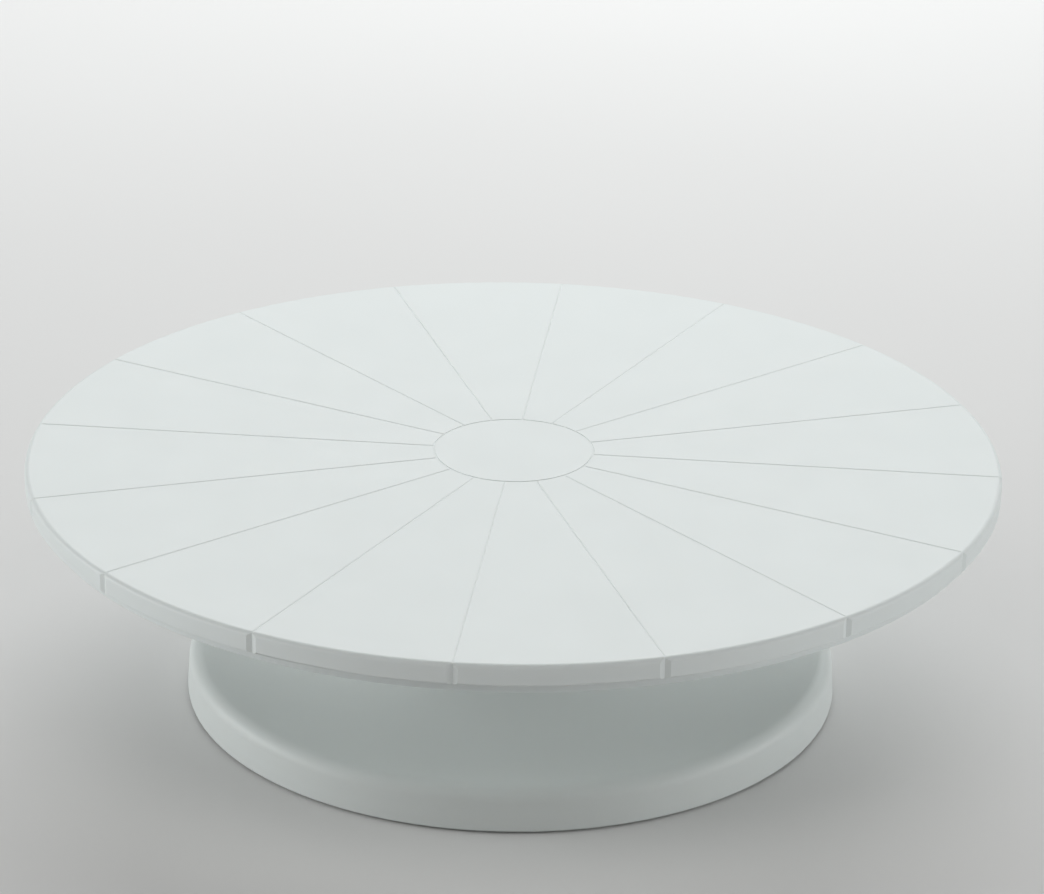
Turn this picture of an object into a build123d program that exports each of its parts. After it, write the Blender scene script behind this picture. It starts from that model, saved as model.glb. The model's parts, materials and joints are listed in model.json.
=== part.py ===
"""Cake turntable: a round marked plate that spins on a ball thrust bearing over a flared pedestal.

Millimetres, +Z up, -Y is the front. The origin is on the surface that the turntable stands on,
on the axis that the plate spins about. Every loose piece is a separate solid in its own STEP file.
"""
import os

from build123d import *

# ---------------------------------------------------------------- overall size
plate_radius = 152.4  # a 12 inch plate
overall_height = 80.0
base_radius = 103.6
foot_height_below_base = 0.8

# ---------------------------------------------------------------- fits
press_gap = 0.02  # radial gap drawn between two pieces that are pressed together
running_gap = 0.04  # radial gap of a shaft that turns in its bush
end_gap = 0.2  # gap between faces that turn past each other
loose_gap = 0.12  # radial gap of a piece that drops into its seat

# ---------------------------------------------------------------- plate
plate_thickness = 3.0
rim_height = 6.5
rim_edge_radius = 1.5
rim_lower_edge_radius = 0.8
skirt_inset = 2.7  # the skirt is a second ring, set in under the rim
skirt_depth = 9.6  # from the top face down to the skirt's lower edge
skirt_wall = 2.8
skirt_edge_radius = 0.5

mark_count = 16
mark_width = 0.8
mark_depth = 0.15
mark_inner_radius = 25.0
centre_ring_width = 0.8
notch_width = 3.2  # each mark opens into a notch down the rim
notch_depth = 0.65
notch_overrun = 1.0  # how far the cutter passes the rim above and below

plate_rib_count = 8
plate_rib_width = 2.0
plate_rib_depth = 4.0
plate_boss_radius = 42.0

# ---------------------------------------------------------------- hub flange and its screws
flange_radius = 36.0
flange_thickness = 3.0
flange_edge_chamfer = 0.5
screw_count = 4
screw_circle_radius = 28.0
screw_radius = 2.4
screw_length = 7.5
screw_head_radius = 4.2
screw_head_height = 2.4
screw_head_edge_radius = 1.0
screw_hole_depth = 4.8
screw_hole_gap = 0.2
drive_slot_length = 4.6
drive_slot_width = 1.0
drive_slot_depth = 1.3

# ---------------------------------------------------------------- spindle and its retainers
spindle_radius = 6.0
spindle_head_radius = 9.0
spindle_head_height = 2.5
spindle_end_height = 15.5
spindle_end_chamfer = 0.8
clip_groove_radius = 4.8
clip_groove_width = 1.1
clip_thickness = 1.0
clip_radius = 9.0
clip_mouth_width = 7.0
clip_relief_radius = 2.2
clip_relief_offset = 4.6
thrust_washer_radius = 10.5
thrust_washer_thickness = 1.3

# ---------------------------------------------------------------- thrust bearing, 12 x 26 x 9
bearing_outer_radius = 13.0
bearing_height = 9.0
race_thickness = 3.0
lower_race_bore_radius = 6.5
race_edge_chamfer = 0.4
ball_radius = 2.381  # 3/16 inch balls
ball_count = 10
ball_circle_radius = 9.5
track_radius = 2.5
ball_gap = 0.05  # between a ball and the bottom of its track
cage_inner_radius = 7.3
cage_outer_radius = 12.6
cage_thickness = 1.8

# ---------------------------------------------------------------- base
base_wall = 3.0
base_wall_height = 9.0  # straight part of the outer wall, below the rounded shoulder
base_wall_draft = 0.6  # how far the wall leans in over that height
base_edge_radius = 0.6
shoulder_radius = 4.5
neck_radius = 34.0
neck_curve_height = 62.0  # height at which the flare has become a vertical neck
neck_top_height = 66.5
neck_edge_radius = 2.0
neck_roof = 4.0

hub_radius = 17.0
hub_bottom_height = 22.0
base_rib_count = 6  # each rib runs out to a foot
base_rib_width = 2.4
base_rib_bottom_height = 6.0

# ---------------------------------------------------------------- bushes
bush_radius = 9.0
bush_flange_radius = 11.5
bush_flange_thickness = 1.5
bush_length = 14.0  # sleeve only, without the flange

# ---------------------------------------------------------------- seal and hub cap
seal_inner_radius = 16.0
seal_outer_radius = 20.0
seal_groove_depth = 2.0
seal_lip_radius = 21.2
seal_lip_thickness = 0.8
seal_lip_gap = 0.4
cap_wall = 2.0
cap_floor_height = 11.0
cap_top_height = 30.0
cap_room = 0.6
cap_edge_radius = 1.0

# ---------------------------------------------------------------- feet
foot_count = 6
foot_circle_radius = 92.0
foot_radius = 7.0
foot_thickness = 3.0
foot_stem_radius = 3.5
foot_stem_length = 5.6
foot_edge_radius = 0.6
foot_boss_radius = 9.0
foot_hole_extra = 0.4

# ---------------------------------------------------------------- heights worked out from the above
plate_top = overall_height
plate_underside = plate_top - plate_thickness
rim_bottom = plate_top - rim_height
skirt_bottom = plate_top - skirt_depth
skirt_radius = plate_radius - skirt_inset
skirt_inner_radius = skirt_radius - skirt_wall
boss_bottom = plate_underside - plate_rib_depth
flange_bottom = boss_bottom - flange_thickness
spindle_head_top = boss_bottom + spindle_head_height

upper_race_bottom = flange_bottom - race_thickness
lower_race_bottom = flange_bottom - bearing_height
ball_centre_height = flange_bottom - bearing_height / 2
track_shift = track_radius - ball_radius - ball_gap

upper_bush_bottom = lower_race_bottom - bush_flange_thickness - bush_length
lower_bush_bottom = hub_bottom_height - bush_flange_thickness
thrust_washer_bottom = lower_bush_bottom - end_gap - thrust_washer_thickness
clip_bottom = thrust_washer_bottom - clip_thickness
clip_groove_bottom = thrust_washer_bottom - clip_groove_width

base_bottom = foot_height_below_base
wall_top_radius = base_radius - base_wall_draft
wall_top = base_bottom + base_wall_height
shoulder_centre_radius = wall_top_radius - shoulder_radius
shoulder_top = wall_top + shoulder_radius
bush_seat_radius = bush_radius + press_gap


def save(builder, name):
    """Label a finished piece and write it to its own STEP file."""
    builder.part.label = name
    export_step(builder.part, f"parts/{name}.step")


def ring(inner_radius, outer_radius, bottom, top):
    """A plain round ring between two heights, or a disc if the inner radius is zero."""
    with BuildPart() as plain_ring:
        with BuildSketch(Plane.XY.offset(bottom)):
            Circle(outer_radius)
            if inner_radius:
                Circle(inner_radius, mode=Mode.SUBTRACT)
        extrude(amount=top - bottom)
    return plain_ring.part


def pedestal(wall):
    """The pedestal's outer form, or with a wall thickness the form of the space under it."""
    skin_radius = shoulder_radius - wall
    with BuildPart() as form:
        with BuildSketch(Plane.XZ) as section:
            with BuildLine():
                outer_wall = Line(
                    (base_radius - wall, base_bottom),
                    (wall_top_radius - wall, wall_top),
                )
                CenterArc((shoulder_centre_radius, wall_top), skin_radius, 0, 90)
                flare = EllipticalCenterArc(
                    (shoulder_centre_radius, neck_curve_height),
                    shoulder_centre_radius - neck_radius + wall,
                    neck_curve_height - shoulder_top + wall,
                    start_angle=180,
                    arc_size=90,
                )
                roof = neck_top_height - neck_roof if wall else neck_top_height
                Polyline(flare @ 0, (neck_radius - wall, roof), (0, roof), (0, base_bottom), outer_wall @ 0)
            make_face()
        revolve(axis=Axis.Z)
    return form.part


def race(bore_radius, bottom, track_centre_height):
    """A thrust bearing washer with a round ball track in one face."""
    with BuildPart() as washer:
        add(ring(bore_radius, bearing_outer_radius, bottom, bottom + race_thickness))
        chamfer(washer.edges().filter_by(GeomType.CIRCLE), race_edge_chamfer)
        with Locations((0, 0, track_centre_height)):
            Torus(ball_circle_radius, track_radius, mode=Mode.SUBTRACT)
    return washer


def bush(sleeve_bottom, flange_bottom_height):
    """A flanged plain bearing that carries the spindle."""
    bore_radius = spindle_radius + running_gap
    with BuildPart() as flanged_bush:
        add(ring(bore_radius, bush_radius, sleeve_bottom, sleeve_bottom + bush_length))
        add(
            ring(
                bore_radius,
                bush_flange_radius,
                flange_bottom_height,
                flange_bottom_height + bush_flange_thickness,
            )
        )
    return flanged_bush


os.makedirs("parts", exist_ok=True)

# ---------------------------------------------------------------- turntable plate
# One long V cutter makes a mark across the top face, and one upright V cutter makes its notch.
with BuildPart() as mark_cutter:
    with BuildSketch(Plane.YZ.offset(mark_inner_radius)):
        with BuildLine():
            Polyline(
                (-mark_width, plate_top + mark_depth),
                (0, plate_top - mark_depth),
                (mark_width, plate_top + mark_depth),
                close=True,
            )
        make_face()
    extrude(amount=plate_radius)
    with BuildSketch(Plane.XY.offset(rim_bottom - notch_overrun)):
        with BuildLine():
            Polyline(
                (plate_radius + notch_depth, -notch_width),
                (plate_radius - notch_depth, 0),
                (plate_radius + notch_depth, notch_width),
                close=True,
            )
        make_face()
    extrude(amount=rim_height + 2 * notch_overrun)

with BuildPart() as turntable_plate:
    with BuildSketch(Plane.XZ) as plate_section:
        with BuildLine():
            Polyline(
                (0, plate_top),
                (plate_radius, plate_top),
                (plate_radius, rim_bottom),
                (skirt_radius, rim_bottom),
                (skirt_radius, skirt_bottom),
                (skirt_inner_radius, skirt_bottom),
                (skirt_inner_radius, plate_underside),
                (0, plate_underside),
                close=True,
            )
        make_face()
        fillet(plate_section.vertices().group_by(Axis.X)[-1].sort_by(Axis.Y)[-1], rim_edge_radius)
        fillet(plate_section.vertices().group_by(Axis.X)[-1].sort_by(Axis.Y)[0], rim_lower_edge_radius)
        fillet(plate_section.vertices().group_by(Axis.Y)[0], skirt_edge_radius)
    revolve(axis=Axis.Z)
    # ribs and the boss for the hub flange, under the skin
    add(ring(0, plate_boss_radius, boss_bottom, plate_underside))
    with BuildSketch(Plane.XY.offset(boss_bottom)):
        rib_start = plate_boss_radius / 2
        rib_end = (skirt_radius + skirt_inner_radius) / 2
        with PolarLocations((rib_start + rib_end) / 2, plate_rib_count, start_angle=180 / plate_rib_count):
            Rectangle(rib_end - rib_start, plate_rib_width)
    extrude(amount=plate_rib_depth)
    # seat for the spindle's head, and pilot holes for the screws
    add(
        ring(0, spindle_head_radius + loose_gap, boss_bottom, spindle_head_top + loose_gap),
        mode=Mode.SUBTRACT,
    )
    with BuildSketch(Plane.XY.offset(boss_bottom)):
        with PolarLocations(screw_circle_radius, screw_count, start_angle=180 / screw_count):
            Circle(screw_radius + press_gap)
    extrude(amount=screw_hole_depth, mode=Mode.SUBTRACT)
    # the marks, their notches and the small ring that they start from
    with PolarLocations(0, mark_count):
        add(mark_cutter.part, mode=Mode.SUBTRACT)
    add(
        ring(
            mark_inner_radius - centre_ring_width / 2,
            mark_inner_radius + centre_ring_width / 2,
            plate_top - mark_depth,
            plate_top,
        ),
        mode=Mode.SUBTRACT,
    )
save(turntable_plate, "turntable_plate")

# ---------------------------------------------------------------- hub flange, bolted under the plate
with BuildPart() as hub_flange:
    with BuildSketch(Plane.XY.offset(flange_bottom)):
        Circle(flange_radius)
        Circle(spindle_radius + press_gap, mode=Mode.SUBTRACT)
        with PolarLocations(screw_circle_radius, screw_count, start_angle=180 / screw_count):
            Circle(screw_radius + screw_hole_gap, mode=Mode.SUBTRACT)
    extrude(amount=flange_thickness)
    rim_edges = hub_flange.edges().filter_by(lambda edge: edge.length > 2 * flange_radius)
    chamfer(rim_edges, flange_edge_chamfer)
save(hub_flange, "hub_flange")

with BuildPart() as flange_screws:
    with BuildSketch(Plane.XY.offset(flange_bottom - screw_head_height)):
        with PolarLocations(screw_circle_radius, screw_count, start_angle=180 / screw_count):
            Circle(screw_head_radius)
    extrude(amount=screw_head_height)
    head_edges = flange_screws.edges().filter_by(GeomType.CIRCLE).group_by(Axis.Z)[0]
    fillet(head_edges, screw_head_edge_radius)
    with BuildSketch(Plane.XY.offset(flange_bottom)):
        with PolarLocations(screw_circle_radius, screw_count, start_angle=180 / screw_count):
            Circle(screw_radius)
    extrude(amount=screw_length)
    with BuildSketch(Plane.XY.offset(flange_bottom - screw_head_height)):
        with PolarLocations(screw_circle_radius, screw_count, start_angle=180 / screw_count):
            Rectangle(drive_slot_length, drive_slot_width)
            Rectangle(drive_slot_width, drive_slot_length)
    extrude(amount=drive_slot_depth, mode=Mode.SUBTRACT)
save(flange_screws, "flange_screws")

# ---------------------------------------------------------------- spindle
with BuildPart() as spindle:
    add(ring(0, spindle_radius, spindle_end_height, boss_bottom))
    chamfer(spindle.edges().group_by(Axis.Z)[0], spindle_end_chamfer)
    add(ring(0, spindle_head_radius, boss_bottom, spindle_head_top))
    add(
        ring(
            clip_groove_radius,
            spindle_radius,
            clip_groove_bottom,
            clip_groove_bottom + clip_groove_width,
        ),
        mode=Mode.SUBTRACT,
    )
save(spindle, "spindle")

# ---------------------------------------------------------------- thrust bearing
upper_race = race(spindle_radius + press_gap, upper_race_bottom, ball_centre_height - track_shift)
save(upper_race, "upper_race")

lower_race = race(lower_race_bore_radius, lower_race_bottom, ball_centre_height + track_shift)
save(lower_race, "lower_race")

with BuildPart() as bearing_balls:
    with Locations((0, 0, ball_centre_height)):
        with PolarLocations(ball_circle_radius, ball_count):
            Sphere(ball_radius)
save(bearing_balls, "bearing_balls")

with BuildPart() as ball_cage:
    cage_bottom = ball_centre_height - cage_thickness / 2
    add(ring(cage_inner_radius, cage_outer_radius, cage_bottom, cage_bottom + cage_thickness))
    with Locations((0, 0, ball_centre_height)):
        with PolarLocations(ball_circle_radius, ball_count):
            Cylinder(ball_radius + loose_gap, bearing_height, mode=Mode.SUBTRACT)
save(ball_cage, "ball_cage")

# ---------------------------------------------------------------- bushes in the hub
upper_bush = bush(upper_bush_bottom, lower_race_bottom - bush_flange_thickness)
save(upper_bush, "upper_bush")

lower_bush = bush(hub_bottom_height, lower_bush_bottom)
save(lower_bush, "lower_bush")

# ---------------------------------------------------------------- retainers at the spindle's end
with BuildPart() as thrust_washer:
    add(
        ring(
            spindle_radius + running_gap,
            thrust_washer_radius,
            thrust_washer_bottom,
            thrust_washer_bottom + thrust_washer_thickness,
        )
    )
save(thrust_washer, "thrust_washer")

with BuildPart() as retaining_clip:
    with BuildSketch(Plane.XY.offset(clip_bottom)):
        Circle(clip_radius)
        Circle(clip_groove_radius + press_gap, mode=Mode.SUBTRACT)
        with Locations((-clip_relief_offset, clip_relief_offset), (-clip_relief_offset, -clip_relief_offset)):
            Circle(clip_relief_radius, mode=Mode.SUBTRACT)
        with Locations((clip_radius, 0)):
            Rectangle(2 * clip_radius, clip_mouth_width, mode=Mode.SUBTRACT)
    extrude(amount=clip_thickness)
save(retaining_clip, "retaining_clip")

# ---------------------------------------------------------------- base
# The space under the shell, less everything that stands in it: hub, ribs and foot bosses.
with BuildPart() as space_under_shell:
    add(pedestal(base_wall))
    add(ring(0, hub_radius, hub_bottom_height, neck_top_height), mode=Mode.SUBTRACT)
    with BuildSketch(Plane.XY.offset(base_rib_bottom_height)):
        with PolarLocations(base_radius / 2, base_rib_count):
            Rectangle(base_radius, base_rib_width)
        Circle(hub_radius + cap_wall + cap_room, mode=Mode.SUBTRACT)
    extrude(amount=neck_top_height, mode=Mode.SUBTRACT)
    with BuildSketch(Plane.XY.offset(cap_top_height + cap_room)):
        with PolarLocations(base_radius / 2, base_rib_count):
            Rectangle(base_radius, base_rib_width)
        Circle(hub_radius, mode=Mode.SUBTRACT)
    extrude(amount=neck_top_height, mode=Mode.SUBTRACT)
    with BuildSketch(Plane.XY.offset(base_bottom)):
        with PolarLocations(foot_circle_radius, foot_count):
            Circle(foot_boss_radius)
    extrude(amount=neck_top_height, mode=Mode.SUBTRACT)

with BuildPart() as base_shell:
    add(pedestal(0))
    neck_edge = base_shell.edges().filter_by(GeomType.CIRCLE).group_by(Axis.Z)[-1]
    fillet(neck_edge, neck_edge_radius)
    wall_edge = base_shell.edges().filter_by(GeomType.CIRCLE).group_by(Axis.Z)[0]
    fillet(wall_edge, base_edge_radius)
    add(space_under_shell.part, mode=Mode.SUBTRACT)
    # bearing pocket, bush flange seat and bush bore, one below the other
    add(
        ring(0, bearing_outer_radius + press_gap, lower_race_bottom, neck_top_height),
        mode=Mode.SUBTRACT,
    )
    add(
        ring(0, bush_flange_radius + press_gap, lower_race_bottom - bush_flange_thickness, lower_race_bottom),
        mode=Mode.SUBTRACT,
    )
    add(ring(0, bush_seat_radius, hub_bottom_height, lower_race_bottom), mode=Mode.SUBTRACT)
    add(
        ring(
            seal_inner_radius - press_gap,
            seal_outer_radius + press_gap,
            neck_top_height - seal_groove_depth,
            neck_top_height,
        ),
        mode=Mode.SUBTRACT,
    )
    # a seat for each foot's pad, and above it a hole for its stem
    with BuildSketch(Plane.XY.offset(base_bottom)):
        with PolarLocations(foot_circle_radius, foot_count):
            Circle(foot_radius + loose_gap)
    extrude(amount=foot_thickness - base_bottom, mode=Mode.SUBTRACT)
    with BuildSketch(Plane.XY.offset(foot_thickness)):
        with PolarLocations(foot_circle_radius, foot_count):
            Circle(foot_stem_radius + press_gap)
    extrude(amount=foot_stem_length + foot_hole_extra, mode=Mode.SUBTRACT)
save(base_shell, "base_shell")

# ---------------------------------------------------------------- dust seal, with a lip that leans out
with BuildPart() as dust_seal:
    seal_bottom = neck_top_height - seal_groove_depth
    lip_top = flange_bottom - seal_lip_gap
    with BuildSketch(Plane.XZ):
        with BuildLine():
            Polyline(
                (seal_inner_radius, seal_bottom),
                (seal_outer_radius, seal_bottom),
                (seal_outer_radius, neck_top_height),
                (seal_lip_radius, lip_top),
                (seal_lip_radius - seal_lip_thickness, lip_top),
                (seal_outer_radius - 2 * seal_lip_thickness, neck_top_height),
                (seal_inner_radius, neck_top_height),
                close=True,
            )
        make_face()
    revolve(axis=Axis.Z)
save(dust_seal, "dust_seal")

# ---------------------------------------------------------------- cap that closes the hub from below
with BuildPart() as hub_cap:
    add(ring(0, hub_radius + cap_wall, cap_floor_height, cap_top_height))
    fillet(hub_cap.edges().group_by(Axis.Z)[0], cap_edge_radius)
    add(
        ring(0, hub_radius + press_gap, cap_floor_height + cap_wall, cap_top_height),
        mode=Mode.SUBTRACT,
    )
save(hub_cap, "hub_cap")

# ---------------------------------------------------------------- rubber feet
for foot_number, foot_place in enumerate(PolarLocations(foot_circle_radius, foot_count), start=1):
    with BuildPart(foot_place) as foot:
        Cylinder(foot_radius, foot_thickness, align=(Align.CENTER, Align.CENTER, Align.MIN))
        fillet(foot.edges().group_by(Axis.Z)[0], foot_edge_radius)
        with Locations((0, 0, foot_thickness)):
            Cylinder(foot_stem_radius, foot_stem_length, align=(Align.CENTER, Align.CENTER, Align.MIN))
    save(foot, f"rubber_foot_{foot_number}")
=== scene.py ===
"""Looks of the cake turntable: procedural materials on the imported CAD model, a pale floor, soft studio
light and a camera that looks down on the front at the photograph's angle. Metres, +Z up, -Y is the front."""
import json
import math

import bpy
from mathutils import Matrix, Vector


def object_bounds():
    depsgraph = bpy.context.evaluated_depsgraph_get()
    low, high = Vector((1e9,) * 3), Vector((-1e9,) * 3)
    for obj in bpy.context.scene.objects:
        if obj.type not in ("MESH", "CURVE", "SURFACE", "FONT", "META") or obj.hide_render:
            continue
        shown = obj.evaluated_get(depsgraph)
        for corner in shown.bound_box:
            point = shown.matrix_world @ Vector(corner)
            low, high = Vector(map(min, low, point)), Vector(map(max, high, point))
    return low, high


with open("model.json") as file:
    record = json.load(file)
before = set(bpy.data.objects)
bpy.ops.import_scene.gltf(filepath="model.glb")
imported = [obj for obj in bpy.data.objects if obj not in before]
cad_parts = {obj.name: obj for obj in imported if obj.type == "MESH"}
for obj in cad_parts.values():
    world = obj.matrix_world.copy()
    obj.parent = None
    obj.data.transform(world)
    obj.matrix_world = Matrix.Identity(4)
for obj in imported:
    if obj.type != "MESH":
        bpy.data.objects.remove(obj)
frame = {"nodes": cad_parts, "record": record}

cad_low, cad_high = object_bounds()

# ---------------------------------------------------------------- camera
CAMERA_AZIMUTH = 6.1  # degrees from the front, towards +X
CAMERA_ELEVATION = 23.0  # degrees above the horizon
CAMERA_ROLL = 0.8  # degrees, clockwise turn of the picture
CAMERA_DISTANCE_IN_PLATE_RADII = 7.5
LENS_MM = 125.5
SENSOR_MM = 36.0
SHIFT_RIGHT = 0.0080
SHIFT_UP = 0.0029

# ---------------------------------------------------------------- floor and light
FLOOR_SIZE = 12.0
FLOOR_PALE = (0.785, 0.775, 0.77)
FLOOR_PALEST = (0.805, 0.795, 0.79)
FLOOR_ROUGHNESS = 0.9
SKY_STRENGTH = 0.09
SKY_COLOR = (0.93, 0.97, 1.0)

WARM = (1.0, 0.985, 0.945)
COOL = (0.975, 1.0, 1.0)
WIDE = 180.0  # degrees that a softbox's light spreads over
NARROW = 120.0  # keeps the side boxes from burning out the floor below them
# Each softbox: name, place, width and height in metres, power in watts, spread, colour.
# All of them face the middle of the plate.
SOFTBOXES = (
    ("back_box", (0.0, 1.4, 1.0), 1.8, 0.9, 22.5, WIDE, COOL),
    ("front_box", (0.0, -0.9, 1.4), 1.8, 1.0, 6.6, WIDE, WARM),
    ("left_box", (-2.2, -0.16, 0.5), 1.9, 0.7, 11.4, NARROW, COOL),
    ("right_box", (2.2, 0.0, 0.5), 1.9, 0.7, 8.2, NARROW, COOL),
)

# ---------------------------------------------------------------- colours and ring pitches
PLATE_COLOR = (0.81, 0.848, 0.842)
BASE_COLOR = (0.79, 0.822, 0.807)
CAP_COLOR = (0.62, 0.64, 0.645)
NYLON_COLOR = (0.80, 0.77, 0.66)
ZINC_COLOR = (0.66, 0.67, 0.69)
SPINDLE_COLOR = (0.56, 0.56, 0.57)
RACE_COLOR = (0.60, 0.60, 0.62)
CLIP_COLOR = (0.16, 0.165, 0.18)
BALL_COLOR = (0.78, 0.78, 0.80)
CAGE_COLOR = (0.80, 0.60, 0.28)
BUSH_COLOR = (0.66, 0.44, 0.25)
SEAL_COLOR = (0.022, 0.022, 0.024)
FOOT_COLOR = (0.16, 0.165, 0.17)

SPINDLE_RING_PITCH = 0.00025
RACE_RING_PITCH = 0.0004
WASHER_RINGS_PER_METRE = 4000.0


# ---------------------------------------------------------------- node helpers
class Shader:
    """A new material's node tree, with short calls to add and join nodes."""

    def __init__(self, name):
        self.material = bpy.data.materials.new(name)
        self.material.use_nodes = True
        self.tree = self.material.node_tree
        self.surface = self.tree.nodes["Principled BSDF"]
        self.coordinates = self.tree.nodes.new("ShaderNodeTexCoord").outputs["Object"]
        self.normal = None

    def add(self, kind, **settings):
        """A node of one kind; settings are its properties."""
        made = self.tree.nodes.new("ShaderNode" + kind)
        for key, value in settings.items():
            setattr(made, key, value)
        return made

    def join(self, source, target):
        self.tree.links.new(source, target)

    def drive(self, **sources):
        """Joins sockets to inputs of the surface; underscores stand for spaces."""
        for key, source in sources.items():
            self.join(source, self.surface.inputs[key.replace("_", " ")])

    def set(self, **values):
        """Sets constant inputs of the surface; underscores stand for spaces."""
        for key, value in values.items():
            self.surface.inputs[key.replace("_", " ")].default_value = value

    def noise(self, scale, detail=3.0, roughness=0.55):
        """Noise in space, 0 to 1, with scale in features per metre."""
        texture = self.add("TexNoise", noise_dimensions="3D")
        texture.inputs["Scale"].default_value = scale
        texture.inputs["Detail"].default_value = detail
        texture.inputs["Roughness"].default_value = roughness
        self.join(self.coordinates, texture.inputs["Vector"])
        return texture.outputs["Fac"]

    def rings(self, per_metre):
        """Uneven rings round the spin axis, 0 to 1."""
        texture = self.add("TexNoise", noise_dimensions="1D")
        texture.inputs["Scale"].default_value = per_metre
        texture.inputs["Detail"].default_value = 2.0
        texture.inputs["Roughness"].default_value = 0.6
        self.join(self.radius(), texture.inputs["W"])
        return texture.outputs["Fac"]

    def span(self, value, low, high, from_low=0.3, from_high=0.7):
        """Maps a value from one range to another. Most of a noise lies between 0.3 and 0.7."""
        mapped = self.add("MapRange", clamp=True)
        self.join(value, mapped.inputs["Value"])
        mapped.inputs["From Min"].default_value = from_low
        mapped.inputs["From Max"].default_value = from_high
        mapped.inputs["To Min"].default_value = low
        mapped.inputs["To Max"].default_value = high
        return mapped.outputs["Result"]

    def whole_span(self, value, low, high):
        """Maps a value that runs from 0 to 1 to another range."""
        return self.span(value, low, high, from_low=0.0, from_high=1.0)

    def patches(self, scale, detail=3.0, roughness=0.55):
        """Noise stretched to the full range from 0 to 1."""
        return self.span(self.noise(scale, detail, roughness), low=0.0, high=1.0)

    def math(self, operation, *values):
        """A maths node on one or two sockets."""
        made = self.add("Math", operation=operation)
        for socket, value in zip(made.inputs, values):
            self.join(value, socket)
        return made.outputs[0]

    def tint(self, amount, color_low, color_high):
        """A colour between two, by an amount from 0 to 1."""
        mixed = self.add("Mix", data_type="RGBA")
        self.join(amount, mixed.inputs["Factor"])
        mixed.inputs["A"].default_value = (*color_low, 1.0)
        mixed.inputs["B"].default_value = (*color_high, 1.0)
        return mixed.outputs["Result"]

    def radius(self):
        """Distance from the spin axis, in metres."""
        parts = self.add("SeparateXYZ")
        self.join(self.coordinates, parts.inputs[0])
        across = self.math("MULTIPLY", parts.outputs["X"], parts.outputs["X"])
        along = self.math("MULTIPLY", parts.outputs["Y"], parts.outputs["Y"])
        return self.math("SQRT", self.math("ADD", across, along))

    def bump(self, height, distance, strength):
        """Adds a bump layer on top of the ones before it; distance is in metres."""
        made = self.add("Bump")
        made.inputs["Distance"].default_value = distance
        made.inputs["Strength"].default_value = strength
        self.join(height, made.inputs["Height"])
        if self.normal is not None:
            self.join(self.normal, made.inputs["Normal"])
        self.normal = made.outputs["Normal"]
        self.drive(Normal=self.normal)


# ---------------------------------------------------------------- materials
def darker(color, share):
    return tuple(channel * share for channel in color)


def moulded_plastic(name, color, roughness):
    """Satin injection-moulded plastic: fine spark-eroded grain, slow colour drift, faint scuffs."""
    look = Shader(name)
    drift = look.patches(scale=9.0, detail=2.0)
    scuffs = look.noise(scale=60.0, detail=5.0, roughness=0.7)
    look.drive(
        Base_Color=look.tint(drift, darker(color, 0.985), color),
        Roughness=look.span(scuffs, low=roughness - 0.02, high=roughness + 0.03),
    )
    grain = look.noise(scale=3800.0, detail=2.0)
    ripple = look.noise(scale=45.0, detail=1.0)
    look.bump(grain, distance=0.00003, strength=0.35)
    look.bump(ripple, distance=0.0002, strength=0.04)
    look.set(
        IOR=1.49,
        Specular_IOR_Level=0.36,
        Subsurface_Weight=0.08,
        Subsurface_Scale=0.002,
        Subsurface_Radius=(1.0, 0.9, 0.8),
    )
    return look.material


def turned_steel(name, color, roughness, ring_pitch):
    """Lathe-turned or ground steel: fine rings round the spin axis."""
    look = Shader(name)
    rings = look.rings(per_metre=1.0 / ring_pitch)
    look.drive(
        Base_Color=look.tint(rings, darker(color, 0.88), color),
        Roughness=look.span(rings, low=roughness - 0.06, high=roughness + 0.08),
    )
    look.bump(rings, distance=0.00002, strength=0.3)
    look.set(Metallic=1.0)
    return look.material


def zinc_plate(name, color):
    """Bright zinc plate: faint cloudy crystals over pressed steel."""
    look = Shader(name)
    clouds = look.patches(scale=260.0, detail=4.0, roughness=0.6)
    look.drive(
        Base_Color=look.tint(clouds, darker(color, 0.86), color),
        Roughness=look.span(look.noise(scale=900.0), low=0.24, high=0.42),
    )
    look.bump(look.noise(scale=1500.0, detail=2.0), distance=0.00002, strength=0.25)
    look.set(Metallic=1.0)
    return look.material


def polished_balls(name, color):
    """Mirror-polished bearing balls under a thin uneven film of grease."""
    look = Shader(name)
    film = look.patches(scale=700.0)
    look.drive(
        Base_Color=look.tint(film, darker(color, 0.92), color),
        Roughness=look.whole_span(film, low=0.05, high=0.16),
    )
    look.set(Metallic=1.0)
    return look.material


def sintered_bronze(name, color):
    """Oil-filled sintered bronze: open pores, darker where the oil has settled."""
    look = Shader(name)
    pores = look.add("TexVoronoi")
    pores.inputs["Scale"].default_value = 2600.0
    look.join(look.coordinates, pores.inputs["Vector"])
    oil = look.patches(scale=180.0)
    look.drive(
        Base_Color=look.tint(oil, darker(color, 0.72), color),
        Roughness=look.whole_span(oil, low=0.30, high=0.50),
    )
    look.bump(pores.outputs["Distance"], distance=0.00004, strength=0.4)
    look.set(Metallic=1.0)
    return look.material


def pressed_brass(name, color):
    """Pressed brass strip, slightly tarnished."""
    look = Shader(name)
    tarnish = look.patches(scale=220.0, detail=4.0, roughness=0.6)
    look.drive(
        Base_Color=look.tint(tarnish, darker(color, 0.78), color),
        Roughness=look.whole_span(tarnish, low=0.22, high=0.38),
    )
    look.bump(look.noise(scale=1800.0, detail=2.0), distance=0.00002, strength=0.2)
    look.set(Metallic=1.0)
    return look.material


def moulded_rubber(name, color, roughness):
    """Matt moulded rubber: pebbled skin with a dusty bloom."""
    look = Shader(name)
    bloom = look.patches(scale=320.0, detail=4.0, roughness=0.65)
    dusty = tuple(channel + 0.03 for channel in color)
    look.drive(
        Base_Color=look.tint(bloom, color, dusty),
        Roughness=look.whole_span(bloom, low=roughness - 0.05, high=roughness + 0.07),
    )
    look.bump(look.noise(scale=2400.0, detail=2.0), distance=0.00004, strength=0.5)
    look.set(IOR=1.52)
    return look.material


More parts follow.
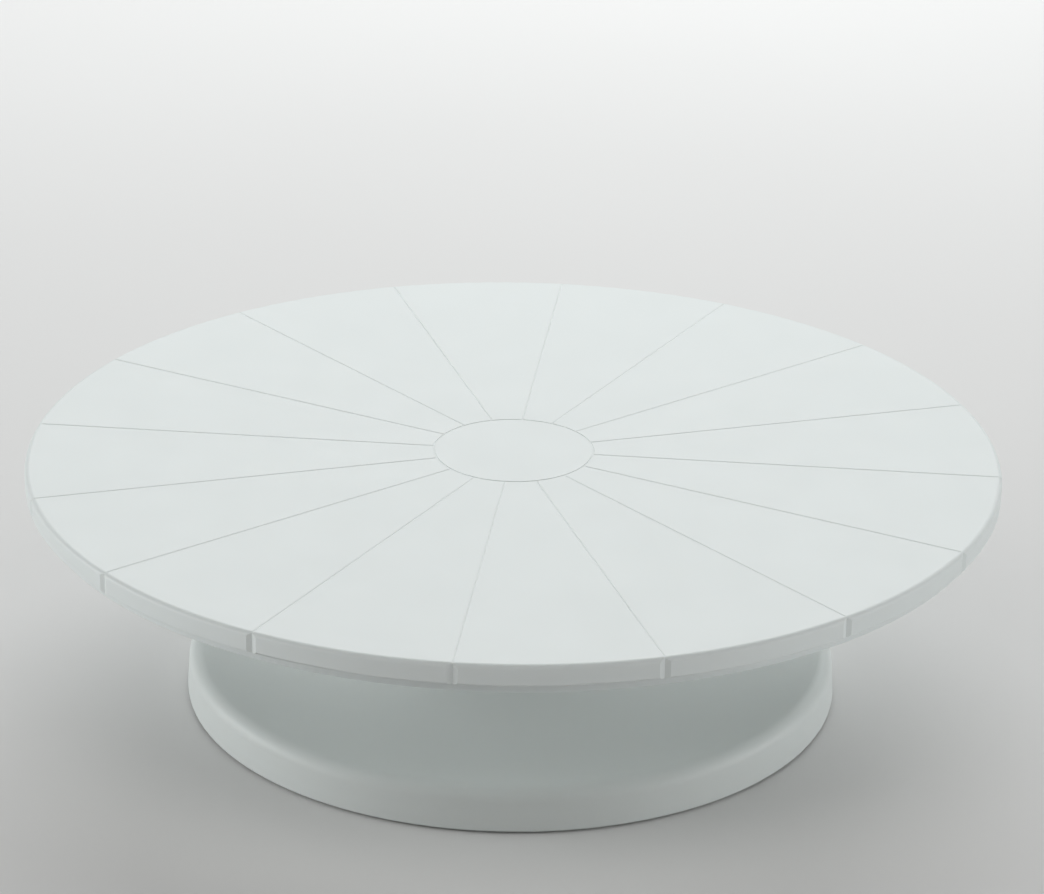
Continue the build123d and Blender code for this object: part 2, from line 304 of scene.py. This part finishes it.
def nylon(name, color):
    """Natural nylon: waxy, slightly see-through, with turning marks."""
    look = Shader(name)
    rings = look.rings(per_metre=WASHER_RINGS_PER_METRE)
    look.drive(
        Base_Color=look.tint(rings, darker(color, 0.93), color),
        Roughness=look.span(rings, low=0.32, high=0.42),
    )
    look.bump(rings, distance=0.00002, strength=0.25)
    look.set(IOR=1.53, Subsurface_Weight=0.2, Subsurface_Scale=0.001)
    return look.material


def make_looks():
    """One material for each slot of the CAD model."""
    return {
        "plate_plastic": moulded_plastic("plate_plastic_look", PLATE_COLOR, roughness=0.48),
        "base_plastic": moulded_plastic("base_plastic_look", BASE_COLOR, roughness=0.46),
        "cap_plastic": moulded_plastic("cap_plastic_look", CAP_COLOR, roughness=0.45),
        "nylon_washer": nylon("nylon_look", NYLON_COLOR),
        "zinc_plated_steel": zinc_plate("zinc_look", ZINC_COLOR),
        "ground_steel": turned_steel("ground_steel_look", SPINDLE_COLOR, 0.26, SPINDLE_RING_PITCH),
        "bearing_steel": turned_steel("bearing_steel_look", RACE_COLOR, 0.18, RACE_RING_PITCH),
        "spring_steel": zinc_plate("spring_steel_look", CLIP_COLOR),
        "bearing_balls_chrome": polished_balls("ball_look", BALL_COLOR),
        "cage_brass": pressed_brass("cage_look", CAGE_COLOR),
        "bush_bronze": sintered_bronze("bush_look", BUSH_COLOR),
        "seal_rubber": moulded_rubber("seal_look", SEAL_COLOR, roughness=0.62),
        "foot_rubber": moulded_rubber("foot_look", FOOT_COLOR, roughness=0.70),
    }


def dress_nodes(looks):
    """Puts each node's look in its material slots."""
    for entry in frame["record"]["subparts"]:
        node = frame["nodes"][entry["node"]]
        for slot in node.material_slots:
            slot.material = looks[entry["material_slot"]]


# ---------------------------------------------------------------- floor
def make_floor():
    """A wide, plain pale floor under the feet."""
    bpy.ops.mesh.primitive_plane_add(size=FLOOR_SIZE, location=(0.0, 0.0, cad_low.z))
    floor = bpy.context.object
    floor.name = "studio_floor"
    look = Shader("floor_look")
    cloud = look.patches(scale=2.0, detail=2.0)
    look.drive(Base_Color=look.tint(cloud, FLOOR_PALE, FLOOR_PALEST))
    look.set(Roughness=FLOOR_ROUGHNESS)
    floor.data.materials.append(look.material)


# ---------------------------------------------------------------- light
def softbox(name, place, target, width, height, power, spread, color):
    """A rectangular area light at a place, turned to face a target and hidden from the camera."""
    light = bpy.data.lights.new(name, "AREA")
    light.shape = "RECTANGLE"
    light.size = width
    light.size_y = height
    light.energy = power
    light.spread = math.radians(spread)
    light.color = color
    lamp = bpy.data.objects.new(name, light)
    lamp.location = place
    lamp.visible_camera = False
    lamp.rotation_mode = "QUATERNION"
    lamp.rotation_quaternion = (target - Vector(place)).to_track_quat("-Z", "Y")
    bpy.context.scene.collection.objects.link(lamp)


def make_light(target):
    """Soft studio light: broad boxes above the back and the front, one box each side, and a very dim sky."""
    world = bpy.data.worlds.new("studio_sky")
    world.use_nodes = True
    background = world.node_tree.nodes["Background"]
    background.inputs["Color"].default_value = (*SKY_COLOR, 1.0)
    background.inputs["Strength"].default_value = SKY_STRENGTH
    bpy.context.scene.world = world
    for name, place, width, height, power, spread, color in SOFTBOXES:
        softbox(name, place, target, width, height, power, spread, color)


# ---------------------------------------------------------------- camera
def make_camera(target):
    """The camera circles the target, then is rolled a little and shifted to frame it."""
    plate_radius = (cad_high.x - cad_low.x) / 2
    azimuth = math.radians(CAMERA_AZIMUTH)
    elevation = math.radians(CAMERA_ELEVATION)
    back = Vector(
        (
            math.sin(azimuth) * math.cos(elevation),
            -math.cos(azimuth) * math.cos(elevation),
            math.sin(elevation),
        )
    )
    data = bpy.data.cameras.new("camera")
    data.sensor_fit = "HORIZONTAL"
    data.sensor_width = SENSOR_MM
    data.lens = LENS_MM
    data.shift_x = SHIFT_RIGHT
    data.shift_y = SHIFT_UP
    camera = bpy.data.objects.new("camera", data)
    turn = (-back).to_track_quat("-Z", "Y").to_matrix().to_4x4()
    roll = Matrix.Rotation(math.radians(CAMERA_ROLL), 4, "Z")
    place = Matrix.Translation(target + back * CAMERA_DISTANCE_IN_PLATE_RADII * plate_radius)
    camera.matrix_world = place @ turn @ roll
    bpy.context.scene.collection.objects.link(camera)
    bpy.context.scene.camera = camera


# ---------------------------------------------------------------- scene
plate_centre = Vector((0.0, 0.0, cad_high.z))
dress_nodes(make_looks())
make_floor()
make_light(plate_centre)
make_camera(plate_centre)
bpy.context.scene.view_settings.view_transform = "Standard"
